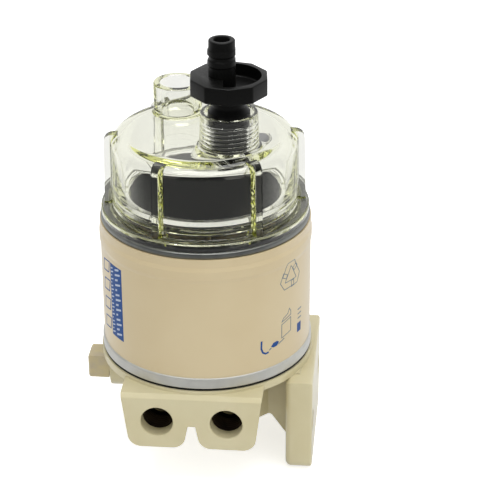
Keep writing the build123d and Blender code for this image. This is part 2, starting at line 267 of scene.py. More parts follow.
# %% [markdown]
# Light that enters the bowl's end plate can't leave it at once: it is mirrored from face to face,
# ten times or more, and comes out yellow at the edge. With Blender's usual twelve bounces such a
# path ends early and the plate's edge turns black, so the paths get more.

# %% Longer light paths for the clear plastic
PLASTIC_BOUNCES = 40
paths = bpy.context.scene.cycles
paths.max_bounces = PLASTIC_BOUNCES
paths.transmission_bounces = PLASTIC_BOUNCES
paths.glossy_bounces = PLASTIC_BOUNCES // 2

# %% [markdown]
# One broad lamp hangs overhead, and two weak ones stand at the front left and right. They are
# large, so the shadows stay soft. The front pair isn't mirrored in gloss, so no lamp shows on the
# can. A fourth lamp is small and very weak. It adds hardly any light, only sparkles on the clear
# edges.

# %% Lamps
LAMP_SIZE = 0.7
SPARKLE_SIZE = 0.05
LAMP_AIM = 45


def lamp(name, place, watts, size=LAMP_SIZE, mirrored=True):
    bpy.ops.object.light_add(type="AREA", location=at(*place))
    made = bpy.context.object
    made.name = name
    made.data.energy = watts
    made.data.size = size
    made.visible_glossy = mirrored
    aim = at(0, 0, LAMP_AIM) - made.location
    made.rotation_euler = aim.to_track_quat("-Z", "Y").to_euler()


lamp("top light", (60, -40, 900), 5.6)
lamp("left light", (-700, -600, 450), 1.2, mirrored=False)
lamp("right light", (750, -600, 350), 2.2, mirrored=False)
lamp("sparkle", (-260, -330, 700), 0.3, SPARKLE_SIZE)

# %% [markdown]
# The floor is a large pale sheet just under the lowest point. It glows a little for the camera,
# which lifts it to white and leaves the soft shadow. Gloss and clear plastic see it pale behind
# the object and dark in front, as if black card lay before it. That keeps the view into the bowl
# deep.

# %% Floor
FLOOR_DROP = 0.2
FLOOR_SIZE = 8.0
FLOOR_GLOW = 0.62
FLOOR_BEHIND = 0.95
FLOOR_BEFORE = 0.32
CARD_ENDS = -0.15
PAPER_STARTS = 0.05


def make_floor():
    floor_z = cad_low.z - FLOOR_DROP * MM
    bpy.ops.mesh.primitive_plane_add(size=FLOOR_SIZE, location=(AXIS.x, AXIS.y, floor_z))
    floor = bpy.context.object
    floor.name = "floor"
    made, tree = material("white paper sweep")
    camera_ray, gloss_ray = ray_kinds(tree)
    span = (front_to_back(tree, "Object"), CARD_ENDS, PAPER_STARTS, FLOOR_BEFORE, FLOOR_BEHIND)
    lifted = add(tree, "ShaderNodeMath", {0: camera_ray, 1: FLOOR_GLOW}, operation="MULTIPLY")
    matt = add(tree, "ShaderNodeBsdfDiffuse", {"Color": colour("#F0F0F0")}).outputs[0]
    light = glow(tree, "ShaderNodeEmission", lifted.outputs[0])
    paper = add(tree, "ShaderNodeAddShader", {0: matt, 1: light}).outputs[0]
    card = glow(tree, "ShaderNodeEmission", ranged(tree, *span))
    finish_with(tree, choose(tree, gloss_ray, paper, card))
    floor.data.materials.append(made)


make_floor()

# %% [markdown]
# The head is die-cast aluminium under a thick cream paint. The paint flows a little before it
# dries, which leaves a faint orange-peel skin and soft edges, and its gloss is uneven. A bevel
# node rounds the edges to the eye, because the casting's mesh is left as it is.

# %% Cream paint
CASTING_EDGE = 0.5


def cream_paint():
    made, tree = material("cream paint on die-cast aluminium")
    patches = grain(tree, 14.0, 3.0)
    skin = grain(tree, 1.1, 1.0)
    soft_edge = add(tree, "ShaderNodeBevel", {"Radius": CASTING_EDGE * MM}, samples=6)
    finish_principled(tree, {
        "Base Color": between(tree, patches, "#CFC59E", "#D3CAA5"),
        "Roughness": spread(tree, patches, 0.30, 0.42),
        "Normal": bumped(tree, skin, 0.05, normal=soft_edge.outputs["Normal"]),
        "Coat Weight": 0.4,
        "Coat Roughness": 0.09,
    })
    return made


# %% [markdown]
# The plugs are steel under the same cream paint, but a spanner has held them, so the coat is
# thin. It clouds from straw to grey, and its shine is dull.

# %% Thin paint on the plugs
def thin_paint():
    made, tree = material("thin cream paint on steel plugs")
    clouds = grain(tree, 4.0, 3.0)
    skin = grain(tree, 0.6)
    finish_principled(tree, {
        "Base Color": between(tree, clouds, "#BDB196", "#C8BA90"),
        "Roughness": spread(tree, clouds, 0.32, 0.48),
        "Normal": bumped(tree, skin, 0.02),
    })
    return made


# %% [markdown]
# The can is drawn steel with a baked enamel, smoother than the casting's paint. Its gloss picks
# up the white studio at the sides, which is why the can looks paler towards its edges.

# %% Beige enamel
def beige_enamel():
    made, tree = material("beige enamel on drawn steel")
    cloud = grain(tree, 25.0)
    skin = grain(tree, 1.6, 1.0)
    finish_principled(tree, {
        "Base Color": between(tree, cloud, "#D0BE97", "#D3C29C"),
        "Roughness": spread(tree, cloud, 0.32, 0.38),
        "Normal": bumped(tree, skin, 0.02, 0.4),
        "Coat Weight": 0.4,
        "Coat Roughness": 0.2,
    })
    return made


# %% [markdown]
# Rolled steel shows fine lines that run round the ring, from the roller. Stretching a noise far
# along the two flat directions and keeping it fine along the axis draws them. They are drawn
# about three times as coarse as the real ones, so that they show. A zinc coat is only partly a
# mirror: its crystals also scatter light, as chalk does, so its metallic value stays below one.

# %% Steel finishes
ROUND_THE_RING = (0.02, 0.02, 1.0)


def rolled_steel(name, dark, pale, smoothest, roughest, metallic=1.0):
    made, tree = material(name)
    lines = grain(tree, 0.25, 3.0, ROUND_THE_RING)
    stains = grain(tree, 6.0, 4.0)
    finish_principled(tree, {
        "Base Color": between(tree, stains, dark, pale),
        "Metallic": metallic,
        "Roughness": spread(tree, stains, smoothest, roughest),
        "Normal": bumped(tree, lines, 0.03),
    })
    return made


# %% [markdown]
# Nitrile rubber is a matt black with a fine pitted skin. The filter paper is a resin-treated
# sheet, warm and fibrous. The black nylon mouldings and the screen inks are made by the same
# function.

# %% Rubber, paper, nylon and ink
UNEVEN = 0.06


def matt_skin(name, dark, pale, rough, pits_mm, depth_mm, shine=0.5):
    made, tree = material(name)
    pits = grain(tree, pits_mm, 4.0)
    finish_principled(tree, {
        "Base Color": between(tree, pits, dark, pale),
        "Roughness": spread(tree, pits, rough - UNEVEN, rough + UNEVEN),
        "Specular IOR Level": shine,
        "Normal": bumped(tree, pits, depth_mm),
    })
    return made


# %% [markdown]
# The bowl is a clear moulded plastic. Thin walls look colourless, but where light travels along
# the wall, as in the ribs and the thick rim of the end face, it turns yellow-green. A volume
# absorption does this by itself: light is lost along the way, a little in each millimetre, and of
# blue far more than of red and green, as PASSED_ON says.

# %% Clear plastic
CLEAR_IOR = 1.56
LOSS_PER_M = 20
PASSED_ON = (0.88, 0.905, 0.10, 1.0)


def clear_plastic():
    made, tree = material("clear moulded plastic")
    waves = grain(tree, 9.0, 1.0)
    tint = add(tree, "ShaderNodeVolumeAbsorption", {"Color": PASSED_ON, "Density": LOSS_PER_M})
    finish_principled(tree, {
        "Base Color": WHITE,
        "Roughness": 0.0,
        "IOR": CLEAR_IOR,
        "Transmission Weight": 1.0,
        "Normal": bumped(tree, waves, 0.05),
    }, tint.outputs[0])
    return made


# %% [markdown]
# Each finish goes by the name of its slot in the record, which says for every solid which slot it
# has. The three inks and the dark tapped metal have no slot of their own, because only new pieces
# wear them. The tapped metal's near-black is painted shade for the deep part of the front ports.
# A steel is given by its two colours, its two roughnesses and how far it is a metal. A matt skin
# has two colours, a roughness, the width and depth of its pits in millimetres, and its shine.

# %% Finishes on the solids that keep their shape
finishes = {
    "cream_paint": cream_paint(),
    "can_paint": beige_enamel(),
    "zinc_steel": rolled_steel("zinc-plated sheet steel", "#CCCCC7", "#D6D6D1", 0.42, 0.55, 0.6),
    "dark_steel": rolled_steel("dark plated rim steel", "#888A88", "#969895", 0.35, 0.45),
    "turned_steel": rolled_steel("turned steel", "#9C9C9A", "#ABABA8", 0.28, 0.42),
    "black_rubber": matt_skin("nitrile rubber", "#111111", "#191919", 0.62, 0.8, 0.03),
    "dark_plastic": matt_skin("dark moulded nylon", "#060706", "#080908", 0.6, 2.5, 0.0, 0.0),
    "black_plastic": matt_skin("black moulded nylon", "#0A0A09", "#0D0D0C", 0.38, 0.6, 0.03, 0.2),
    "filter_paper": matt_skin("pleated filter paper", "#D9C99A", "#E4D6AB", 0.8, 0.5, 0.05),
    "clear_plastic": clear_plastic(),
    "plug_paint": thin_paint(),
    "blue_ink": matt_skin("blue screen ink", "#0F4487", "#164C90", 0.45, 0.8, 0.0, 0.3),
    "grey_ink": matt_skin("grey screen ink", "#5F7380", "#6A7D89", 0.4, 0.8, 0.0),
    "white_ink": matt_skin("white screen ink", "#AEBBD0", "#B8C4D6", 0.4, 0.8, 0.0),
    # Near-black painted shade for the deep part of the front ports, worn by a real tapped thread.
    "tapped_metal_as_shade": rolled_steel("tapped aluminium darkened as shade", "#2A2520", "#38302A", 0.35, 0.45),
}
slots = {part["node"]: part["material_slot"] for part in frame["record"]["subparts"]}
for name, solid in nodes.items():
    for slot in solid.material_slots:
        slot.material = finishes[slots[name]]
print("finishes:", len(finishes))

# %% [markdown]
# Three helpers do most of the work on new pieces. An outline gets its corners rounded by a
# formula, a closed ring of points is spun about the axis as on a lathe, and one shape is joined
# to another or cut from it. A corner of an outline is a radius and a height in millimetres, and a
# third number rounds it: the middle of that curve lies on the line that halves the corner. Where
# an outline runs along the axis, the spin would leave a loose edge there, so the edge goes first.

# %% Helpers for shapes
LATHE_STEPS = 192
CORNER_STEPS = 6
WELD_MM = 0.002


def rounded(corners, steps=CORNER_STEPS):
    points = []
    count = len(corners)
    for i, corner in enumerate(corners):
        x, z = corner[:2]
        radius = corner[2] if len(corner) > 2 else 0
        if not radius:
            points.append((x, z))
            continue
        here = Vector((x, z))
        before = (Vector(corners[i - 1][:2]) - here).normalized()
        after = (Vector(corners[(i + 1) % count][:2]) - here).normalized()
        half = before.angle(after) / 2
        middle = here + (before + after).normalized() * (radius / math.sin(half))
        start = here + before * (radius / math.tan(half)) - middle
        sweep = start.angle_signed(here + after * (radius / math.tan(half)) - middle)
        for step in range(steps + 1):
            angle = -sweep * step / steps
            turn = Matrix.Rotation(angle, 2)
            points.append(tuple(middle + turn @ start))
    return points


def only(piece):
    bpy.ops.object.select_all(action="DESELECT")
    piece.select_set(True)
    bpy.context.view_layer.objects.active = piece


def edit_edges(piece, chosen):
    bpy.ops.object.mode_set(mode="EDIT")
    bpy.ops.mesh.select_mode(type="EDGE")
    bpy.ops.mesh.select_all(action="DESELECT")
    bpy.ops.object.mode_set(mode="OBJECT")
    for edge in piece.data.edges:
        edge.select = chosen(edge)
    bpy.ops.object.mode_set(mode="EDIT")


def weld(gap_mm=WELD_MM):
    bpy.ops.mesh.select_all(action="SELECT")
    bpy.ops.mesh.remove_doubles(threshold=gap_mm * MM)


def cut_off(spot, way, beyond):
    bpy.ops.mesh.select_all(action="SELECT")
    bpy.ops.mesh.bisect(
        plane_co=spot, plane_no=way, use_fill=True, clear_inner=not beyond, clear_outer=beyond
    )


def face_outwards():
    bpy.ops.mesh.select_all(action="SELECT")
    bpy.ops.mesh.normals_make_consistent(inside=False)
    bpy.ops.object.mode_set(mode="OBJECT")


def loop_of(name, points):
    bpy.ops.mesh.primitive_circle_add(vertices=len(points), radius=1)
    piece = bpy.context.object
    piece.name = name
    for vertex, (radius, z) in zip(piece.data.vertices, points):
        vertex.co = (max(radius, 0) * MM, 0, z * MM)
    return piece


def lathe(name, outline, steps=LATHE_STEPS):
    piece = loop_of(name, outline)
    on_axis = {i for i, (radius, z) in enumerate(outline) if radius <= 0}
    edit_edges(piece, lambda edge: set(edge.vertices) <= on_axis)
    if on_axis:
        bpy.ops.mesh.delete(type="EDGE_FACE")
    bpy.ops.mesh.select_all(action="SELECT")
    bpy.ops.mesh.spin(
        steps=steps, angle=2 * math.pi, center=(0, 0, 0), axis=(0, 0, 1), use_auto_merge=True
    )
    weld()
    face_outwards()
    return piece


def shift(piece, x=0.0, y=0.0, turn=0.0):
    place_at = Matrix.Translation(Vector((x, y, 0)) * MM)
    piece.data.transform(place_at @ Matrix.Rotation(turn, 4, "Z"))
    return piece


def combine(piece, tool, operation):
    only(piece)
    step = piece.modifiers.new(operation.lower(), "BOOLEAN")
    step.object = tool
    step.operation = operation
    step.solver = "EXACT"
    bpy.ops.object.modifier_apply(modifier=step.name)
    bpy.data.objects.remove(tool)
    return piece


def smooth(piece, degrees):
    only(piece)
    bpy.ops.object.shade_smooth_by_angle(angle=math.radians(degrees))
    return piece


def place(piece, finish, body, slot, *replaced):
    piece.data.transform(Matrix.Translation(AXIS))
    piece.data.materials.clear()
    piece.data.materials.append(finishes[finish])
    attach(piece, body)
    if replaced:
        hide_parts(*replaced)
    print(piece.name, len(piece.data.polygons), "faces")


# %% [markdown]
# A screw thread is a toothed line that turns about the axis and rises by one pitch in each turn.
# The Screw modifier sweeps it. The teeth repeat with the pitch, so the end of a turn meets its
# start one tooth higher, and the two flat cuts at the ends leave a closed solid. In each tooth
# the root, the rising flank and the crest end after these shares of the pitch, and the falling
# flank fills the rest. The line starts below the lower cut and has teeth to spare for the upper.

# %% Threaded rod
ROOT_ENDS, CREST_STARTS, CREST_ENDS = 0.12, 0.48, 0.64
TURNS_BELOW = 1.5
SPARE_TEETH = 3
THREAD_STEPS = 96
THREAD_WELD_MM = 0.01


def threaded_rod(name, root, crest, pitch, low, high, steps=THREAD_STEPS):
    teeth = math.ceil((high - low) / pitch) + SPARE_TEETH
    start = low - TURNS_BELOW * pitch
    line = []
    for tooth in range(teeth):
        z = start + tooth * pitch
        line += [(root, z), (root, z + ROOT_ENDS * pitch)]
        line += [(crest, z + CREST_STARTS * pitch), (crest, z + CREST_ENDS * pitch)]
    piece = loop_of(name, line)
    ends = {0, len(line) - 1}
    edit_edges(piece, lambda edge: set(edge.vertices) == ends)
    bpy.ops.mesh.delete(type="EDGE_FACE")
    bpy.ops.object.mode_set(mode="OBJECT")
    sweep = piece.modifiers.new("sweep", "SCREW")
    sweep.screw_offset = pitch * MM
    sweep.steps = steps
    sweep.render_steps = steps
    bpy.ops.object.modifier_apply(modifier=sweep.name)
    bpy.ops.object.mode_set(mode="EDIT")
    weld(THREAD_WELD_MM)
    cut_off((0, 0, low * MM), (0, 0, 1), beyond=False)
    cut_off((0, 0, high * MM), (0, 0, 1), beyond=True)
    face_outwards()
    return piece


# %% [markdown]
# The bowl is the piece that the eye goes to. Its wall, flange and threaded foot are one lathe
# outline, and two small ledges inside the wall draw the bright rings above the flange. Six
# tapered ribs and two bosses are joined on, and the bores are cut last. The plastic should be one
# closed body, so that light bends only where it enters or leaves it. It isn't quite: the join
# with the drain boss leaves a flat ring of faces inside the boss, level with the plate's top.

# %% Clear bowl
WALL_OUTER = 34.7
WALL_INNER = 31.7
WALL_FLARE = 0.3
END_Z = RIM_TOP + 32.0
END_THICK = 3.9
SHOULDER = 6.0
INNER_CORNER = 3.0
FLANGE_RADIUS = 39.2
FLANGE_LIP = 0.8
FLANGE_LOW = RIM_TOP + 0.2
FLANGE_HIGH = FLANGE_LOW + 3.0
GROOVE_ROOF = RIM_TOP + 1.5
SPIGOT = 35.8
SPIGOT_ROOT = SPIGOT - 1.2
SPIGOT_PITCH = 3.0
SPIGOT_TOOTH = ((SPIGOT, 0.0), (SPIGOT_ROOT, 0.9), (SPIGOT_ROOT, 1.4), (SPIGOT, 2.3))
SPIGOT_CHAMFER = 0.8
FOOT_INNER = 33.0
LOWER_RING = RIM_TOP + 6.3
UPPER_RING = RIM_TOP + 9.3
BOWL_CORNER_STEPS = 8


def bowl_outline():
    lip = FLANGE_RADIUS - FLANGE_LIP
    outer = [(0, END_Z), (WALL_OUTER, END_Z, SHOULDER), (WALL_OUTER + WALL_FLARE, FLANGE_HIGH, 0.9)]
    outer += [(FLANGE_RADIUS, FLANGE_HIGH, 0.7), (FLANGE_RADIUS, FLANGE_LOW, 0.2)]
    outer += [(lip, FLANGE_LOW), (lip, GROOVE_ROOF), (SPIGOT, GROOVE_ROOF)]
    z = GROOVE_ROOF - 2.0
    while z - SPIGOT_PITCH > BOWL_FOOT + 1:
        outer += [(radius, z - drop) for radius, drop in SPIGOT_TOOTH]
        z -= SPIGOT_PITCH
    outer += [(SPIGOT, BOWL_FOOT + SPIGOT_CHAMFER), (SPIGOT - SPIGOT_CHAMFER, BOWL_FOOT)]
    inner = [(FOOT_INNER, BOWL_FOOT), (FOOT_INNER, LOWER_RING - 2.2)]
    inner += [(WALL_INNER, LOWER_RING - 1.9)]
    for top, depth in ((LOWER_RING, 1.6), (UPPER_RING, 1.9)):
        inner += [(WALL_INNER - 0.1, top - depth, 0.2), (WALL_INNER - depth, top - 0.3, 0.2)]
        inner += [(WALL_INNER - depth, top, 0.15), (WALL_INNER, top, 0.3)]
    inner += [(WALL_INNER, END_Z - END_THICK, INNER_CORNER), (0, END_Z - END_THICK)]
    return rounded(outer + inner, BOWL_CORNER_STEPS)


# %% [markdown]
# A rib is a box whose outer face is narrower than its root, leans in towards the top, and ends in
# a round corner. A moulded rib is tapered so that it leaves the mould. The taper also shows the
# rib's side, where the light has come a long way through the plastic and is yellow. The corners
# of the box are told apart by where they lie, to within a hair.

# %% Ribs of the bowl
RIB_ANGLE = math.radians(-52.4)
RIB_COUNT = 6
RIB_WIDTH = 4.6
RIB_TAPER = 0.6
RIB_SUNK = 0.3
RIB_FOOT_RADIUS = 37.9
RIB_HEAD_RADIUS = 37.3
RIB_TOP_Z = END_Z - 1.0
RIB_ROUND = 3.0
A_HAIR = 1e-5


def rib():
    depth = (RIB_FOOT_RADIUS - WALL_INNER - RIB_SUNK) * MM
    tall = (RIB_TOP_Z - GROOVE_ROOF) * MM
    middle = (WALL_INNER + RIB_SUNK) * MM + depth / 2
    bpy.ops.mesh.primitive_cube_add(size=1, location=(middle, 0, GROOVE_ROOF * MM + tall / 2))
    piece = bpy.context.object
    piece.scale = (depth, RIB_WIDTH * MM, tall)
    bpy.ops.object.transform_apply(location=True, rotation=False, scale=True)
    top = RIB_TOP_Z * MM - A_HAIR
    for vertex in piece.data.vertices:
        if vertex.co.x > RIB_FOOT_RADIUS * MM - A_HAIR:
            vertex.co.y *= RIB_TAPER
            if vertex.co.z > top:
                vertex.co.x = RIB_HEAD_RADIUS * MM

    def is_head(edge):
        ends = [piece.data.vertices[i].co for i in edge.vertices]
        return all(end.z > top and end.x > RIB_HEAD_RADIUS * MM - A_HAIR for end in ends)

    edit_edges(piece, is_head)
    bpy.ops.mesh.bevel(offset=RIB_ROUND * MM, segments=8, affect="EDGES")
    bpy.ops.object.mode_set(mode="OBJECT")
    return piece


# %% [markdown]
# Both bosses are short round posts on the end plate, sunk into it a little so that the join is
# clean. Their bores are cut later.

# %% Bosses of the bowl
BOSS_SUNK = 2.0
BOSS_STEPS = 128
SENSOR_TOP = END_Z + 12.0
SENSOR_BORE = 6.6
SENSOR_MOUTH = 7.2
DRAIN_BOSS = {"skirt": 11.9, "neck": 11.0, "fillet": 0.5, "mouth": 10.5, "top": BOSS_TOP}
SENSOR_BOSS = {"skirt": 9.9, "neck": 9.2, "fillet": 0.4, "mouth": 9.1, "top": SENSOR_TOP}


def boss(name, skirt, neck, fillet, mouth, top):
    foot = END_Z - BOSS_SUNK
    corners = [(0, foot), (skirt, foot), (skirt, END_Z - 0.05), (neck, END_Z + fillet, fillet)]
    return lathe(name, rounded(corners + [(mouth, top, 0.6), (0, top)]), BOSS_STEPS)


# %% [markdown]
# The drain's bore is threaded from its floor up to a wider mouth, and a small hole leads on into
# the bowl. The sensor's bore ends at a closed floor. Each tool reaches past the face that it cuts.

# %% Bores of the bowl
BORE_STEPS = 96
BORE_CREST = 7.95
BORE_ROOT = 8.65
DRAIN_PITCH = 1.6
DRAIN_FLOOR = END_Z - 1.8
DRAIN_HOLE = 4.8
MOUTH_Z = BOSS_TOP - 3.2
MOUTH_RADIUS = 8.8
MOUTH_EDGE = 9.3


def sensor_bore():
    corners = [(0, END_Z), (SENSOR_BORE, END_Z, 0.8), (SENSOR_BORE, END_Z + 11.7)]
    corners += [(SENSOR_MOUTH, END_Z + 12.3), (SENSOR_MOUTH, END_Z + 13.0), (0, END_Z + 13.0)]
    return lathe("sensor bore", rounded(corners), BOSS_STEPS)


def drain_bore():
    above = MOUTH_Z + 0.5
    rod = threaded_rod("drain bore", BORE_CREST, BORE_ROOT, DRAIN_PITCH, DRAIN_FLOOR, above)
    mouth = [(0, MOUTH_Z - 0.7), (8.0, MOUTH_Z - 0.7), (MOUTH_RADIUS, MOUTH_Z)]
    mouth += [(MOUTH_RADIUS, BOSS_TOP - 0.5), (MOUTH_EDGE, BOSS_TOP + 0.2)]
    mouth += [(MOUTH_EDGE, BOSS_TOP + 1), (0, BOSS_TOP + 1)]
    combine(rod, lathe("mouth", mouth, BORE_STEPS), "UNION")
    low, high = END_Z - END_THICK - 1, DRAIN_FLOOR + 0.5
    hole = [(0, low), (DRAIN_HOLE, low), (DRAIN_HOLE, high), (0, high)]
    return combine(rod, lathe("hole", hole, BORE_STEPS), "UNION")


def clear_bowl():
    bowl = lathe("clear_bowl_moulding", bowl_outline())
    for i in range(RIB_COUNT):
        turn = RIB_ANGLE + i * 2 * math.pi / RIB_COUNT
        combine(bowl, shift(rib(), turn=turn), "UNION")
    combine(bowl, shift(boss("drain boss", **DRAIN_BOSS), DRAIN.x, DRAIN.y), "UNION")
    combine(bowl, shift(boss("sensor boss", **SENSOR_BOSS), SENSOR.x, SENSOR.y), "UNION")
    combine(bowl, shift(sensor_bore(), SENSOR.x, SENSOR.y), "DIFFERENCE")
    combine(bowl, shift(drain_bore(), DRAIN.x, DRAIN.y), "DIFFERENCE")
    smooth(bowl, degrees=32)
    place(bowl, "clear_plastic", "bowl", "clear_plastic", "clear_bowl")


clear_bowl()

# %% [markdown]
# The drain valve is one black moulding: a ten-sided knob with a pocket on one side, an off-centre
# hose barb, a waist that flares to the thread, and a threaded stem that shows through the boss.

# %% Drain valve
VALVE_TURN = math.radians(5.6)
KNOB_SIDES = 10
KNOB_RADIUS = 14.5
KNOB_HEIGHT = 6.4
BARB_HEIGHT = 13.6
KNOB_HIGH = VALVE_TOP - BARB_HEIGHT
KNOB_LOW = KNOB_HIGH - KNOB_HEIGHT
KNOB_EDGE = 0.5
POCKET_RADIUS = 11.8
POCKET_FLOOR = KNOB_HIGH - 4.9
POCKET_SIDE = -2.0
BARB_SHIFT = -2.4
BARB_FLAT = 4.92
BARB_TUBE = 4.87
BARB_RING = 5.3
BARB_GROOVE = 4.7
BARB_TIP = 4.8
BARB_BORE = 2.85
WAIST = 6.1
STEM_ROOT = 7.1
STEM_CREST = 7.7
NOSE_BORE = 2.6
NOSE_RADIUS = 4.5
NOSE_STEPS = 64
VALVE_STEPS = 96
VALVE_CORNER_STEPS = 4


def knob():
    middle = (0, 0, (KNOB_LOW + KNOB_HIGH) / 2 * MM)
    bpy.ops.mesh.primitive_cylinder_add(
        vertices=KNOB_SIDES, radius=KNOB_RADIUS * MM, depth=KNOB_HEIGHT * MM, location=middle
    )
    piece = bpy.context.object
    bpy.ops.object.transform_apply(location=True)
    edit_edges(piece, lambda edge: True)
    bpy.ops.mesh.bevel(offset=KNOB_EDGE * MM, segments=3, affect="EDGES")
    bpy.ops.object.mode_set(mode="OBJECT")
    return piece


def knob_pocket():
    above = KNOB_HIGH + 1
    corners = [(0, POCKET_FLOOR), (POCKET_RADIUS, POCKET_FLOOR, 1.0)]
    corners += [(POCKET_RADIUS, above), (0, above)]
    tool = lathe("pocket", rounded(corners), VALVE_STEPS)
    only(tool)
    bpy.ops.object.mode_set(mode="EDIT")
    cut_off((POCKET_SIDE * MM, 0, 0), (1, 0, 0), beyond=False)
    bpy.ops.object.mode_set(mode="OBJECT")
    return tool


def hose_barb():
    top = VALVE_TOP
    foot = POCKET_FLOOR - 0.5
    outer = [(BARB_TUBE, foot), (BARB_TUBE, top - 9.9)]
    outer += [(BARB_RING, top - 9.3, 0.3), (BARB_RING - 0.15, top - 7.6, 0.3)]
    outer += [(BARB_GROOVE, top - 7.0, 0.2), (BARB_GROOVE, top - 6.0, 0.2)]
    outer += [(BARB_RING, top - 5.4, 0.3), (BARB_RING - 0.15, top - 3.7, 0.3)]
    outer += [(BARB_TIP, top - 3.2), (BARB_TIP, top, 0.6)]
    bore = [(3.2, top, 0.3), (BARB_BORE, top - 0.6), (BARB_BORE, foot)]
    piece = lathe("hose barb", rounded(outer + bore, VALVE_CORNER_STEPS), VALVE_STEPS)
    for vertex in piece.data.vertices:
        vertex.co.x = min(vertex.co.x, BARB_FLAT * MM)
    return shift(piece, BARB_SHIFT)


def waist():
    low = BOSS_TOP - 1.2
    corners = [(0, low), (STEM_CREST, low), (STEM_CREST, BOSS_TOP + 0.3, 0.3)]
    corners += [(WAIST, BOSS_TOP + 2.5, 1.5), (WAIST, KNOB_LOW - 0.8, 0.7)]
    corners += [(6.9, KNOB_LOW + 0.3), (0, KNOB_LOW + 0.3)]
    return lathe("waist", rounded(corners, VALVE_CORNER_STEPS), VALVE_STEPS)


def stem():
    return threaded_rod("stem", STEM_ROOT, STEM_CREST, DRAIN_PITCH, SEAL_TOP + 0.1, BOSS_TOP - 1.1)


def nose():
    shoulder = SEAL_TOP + 0.3
    tip = END_Z - END_THICK - 1.4
    corners = [(NOSE_BORE, tip), (NOSE_RADIUS, tip, 0.5), (NOSE_RADIUS, shoulder)]
    return lathe("nose", rounded(corners + [(NOSE_BORE, shoulder)], 3), NOSE_STEPS)


def drain_valve():
    valve = combine(knob(), knob_pocket(), "DIFFERENCE")
    valve.name = "drain_valve_moulding"
    for part in (hose_barb(), waist(), stem(), nose()):
        combine(valve, part, "UNION")
    shift(valve, DRAIN.x, DRAIN.y, VALVE_TURN)
    smooth(valve, degrees=35)
    place(valve, "black_plastic", "drain_valve", "black_plastic", "drain_valve")


drain_valve()

# %% [markdown]
# Under the seam a black rubber ring fills the gap between the can and the casting. Part of it is
# the squeezed gasket, and part is painted shade: it reaches out into the gap, where the black line
# is mostly shadow.

# %% Gasket's edge and painted shade in the gap
EDGE_INNER = 38.0
# The outer radius reaches into the shadowed gap, so this black ring is partly painted shade.
EDGE_OUTER = 40.4
EDGE_LOW = -0.76
EDGE_HIGH = -0.04
EDGE_ROUND = 0.3
EDGE_CORNER_STEPS = 4


def gasket_and_gap_shade():
    corners = [(EDGE_INNER, EDGE_LOW), (EDGE_OUTER, EDGE_LOW, EDGE_ROUND)]
    corners += [(EDGE_OUTER, EDGE_HIGH, EDGE_ROUND), (EDGE_INNER, EDGE_HIGH)]
    edge = lathe("gasket_and_gap_shade", rounded(corners, EDGE_CORNER_STEPS))
    smooth(edge, degrees=40)
    place(edge, "black_rubber", "head_gasket", "black_rubber")


gasket_and_gap_shade()

# %% [markdown]
# The print on the can is generic: a blue block with white bars, hollow shapes, a triangle of
# three bent pieces, and a small picture of a can with a hose. Each shape is drawn flat, as width
# along the can and height, cut into strips a millimetre wide, wrapped round the can and given a
# little thickness. Near the top the can swells into a bead, so the print is lifted there too.

# %% Helpers for the print
CAN_RADIUS = 40.0
INK_THICK = 0.06
BEAD_FOOT = RIM_FOOT - 9.7
BEAD_EDGE = RIM_FOOT - 8.1
BEAD_RISE = 0.4


def along(degrees):
    return math.radians(degrees) * CAN_RADIUS


def moved(corners, across, up):
    return [(across + x, up + z) for x, z in corners]


def flat(corners):
    bpy.ops.mesh.primitive_circle_add(vertices=len(corners), radius=1, fill_type="NGON")
    piece = bpy.context.object
    for vertex, (across, z) in zip(piece.data.vertices, corners):
        vertex.co = (across * MM, z * MM, 0)
    return piece


def block(left, right, low, high):
    left, right = along(left), along(right)
    return flat([(left, low), (right, low), (right, high), (left, high)])


def hollow(corners, line):
    piece = flat(corners)
    bpy.ops.object.mode_set(mode="EDIT")
    bpy.ops.mesh.select_mode(type="FACE")
    bpy.ops.mesh.select_all(action="SELECT")
    bpy.ops.mesh.inset(thickness=line * MM)
    bpy.ops.mesh.delete(type="FACE")
    bpy.ops.object.mode_set(mode="OBJECT")
    return piece


def band(points, line):
    sides = ([], [])
    for i, point in enumerate(points):
        here = Vector(point)
        along_in = here - Vector(points[max(i - 1, 0)])
        along_out = Vector(points[min(i + 1, len(points) - 1)]) - here
        way = (along_in.normalized() + along_out.normalized()).normalized()
        across = Vector((way.y, -way.x)) * line / 2
        sides[0].append(tuple(here + across))
        sides[1].append(tuple(here - across))
    return flat(sides[0] + sides[1][::-1])


def wrap(name, shapes, finish, lift=0.0):
    only(shapes[0])
    for shape in shapes:
        shape.select_set(True)
    bpy.ops.object.join()
    piece = bpy.context.object
    piece.name = name
    spots = [vertex.co.x / MM for vertex in piece.data.vertices]
    bpy.ops.object.mode_set(mode="EDIT")
    bpy.ops.mesh.select_all(action="SELECT")
    bpy.ops.mesh.quads_convert_to_tris()
    strips = range(math.ceil(min(spots)), math.ceil(max(spots)))
    cuts = [((x * MM, 0, 0), (1, 0, 0)) for x in strips]
    cuts += [((0, z * MM, 0), (0, 1, 0)) for z in (BEAD_FOOT, BEAD_EDGE)]
    for spot, way in cuts:
        bpy.ops.mesh.select_all(action="SELECT")
        bpy.ops.mesh.bisect(plane_co=spot, plane_no=way)
    weld()
    face_outwards()
    for vertex in piece.data.vertices:
        angle = vertex.co.x / MM / CAN_RADIUS
        z = vertex.co.y / MM
        on_bead = min(max((z - BEAD_FOOT) / (BEAD_EDGE - BEAD_FOOT), 0), 1)
        radius = CAN_RADIUS + BEAD_RISE * on_bead + lift
        vertex.co = (radius * math.cos(angle) * MM, radius * math.sin(angle) * MM, z * MM)
    thick = piece.modifiers.new("ink", "SOLIDIFY")
    thick.thickness = INK_THICK * MM
    thick.offset = 0
    bpy.ops.object.modifier_apply(modifier=thick.name)
    bpy.ops.object.mode_set(mode="EDIT")
    face_outwards()
    place(piece, finish, "element", "can_paint")


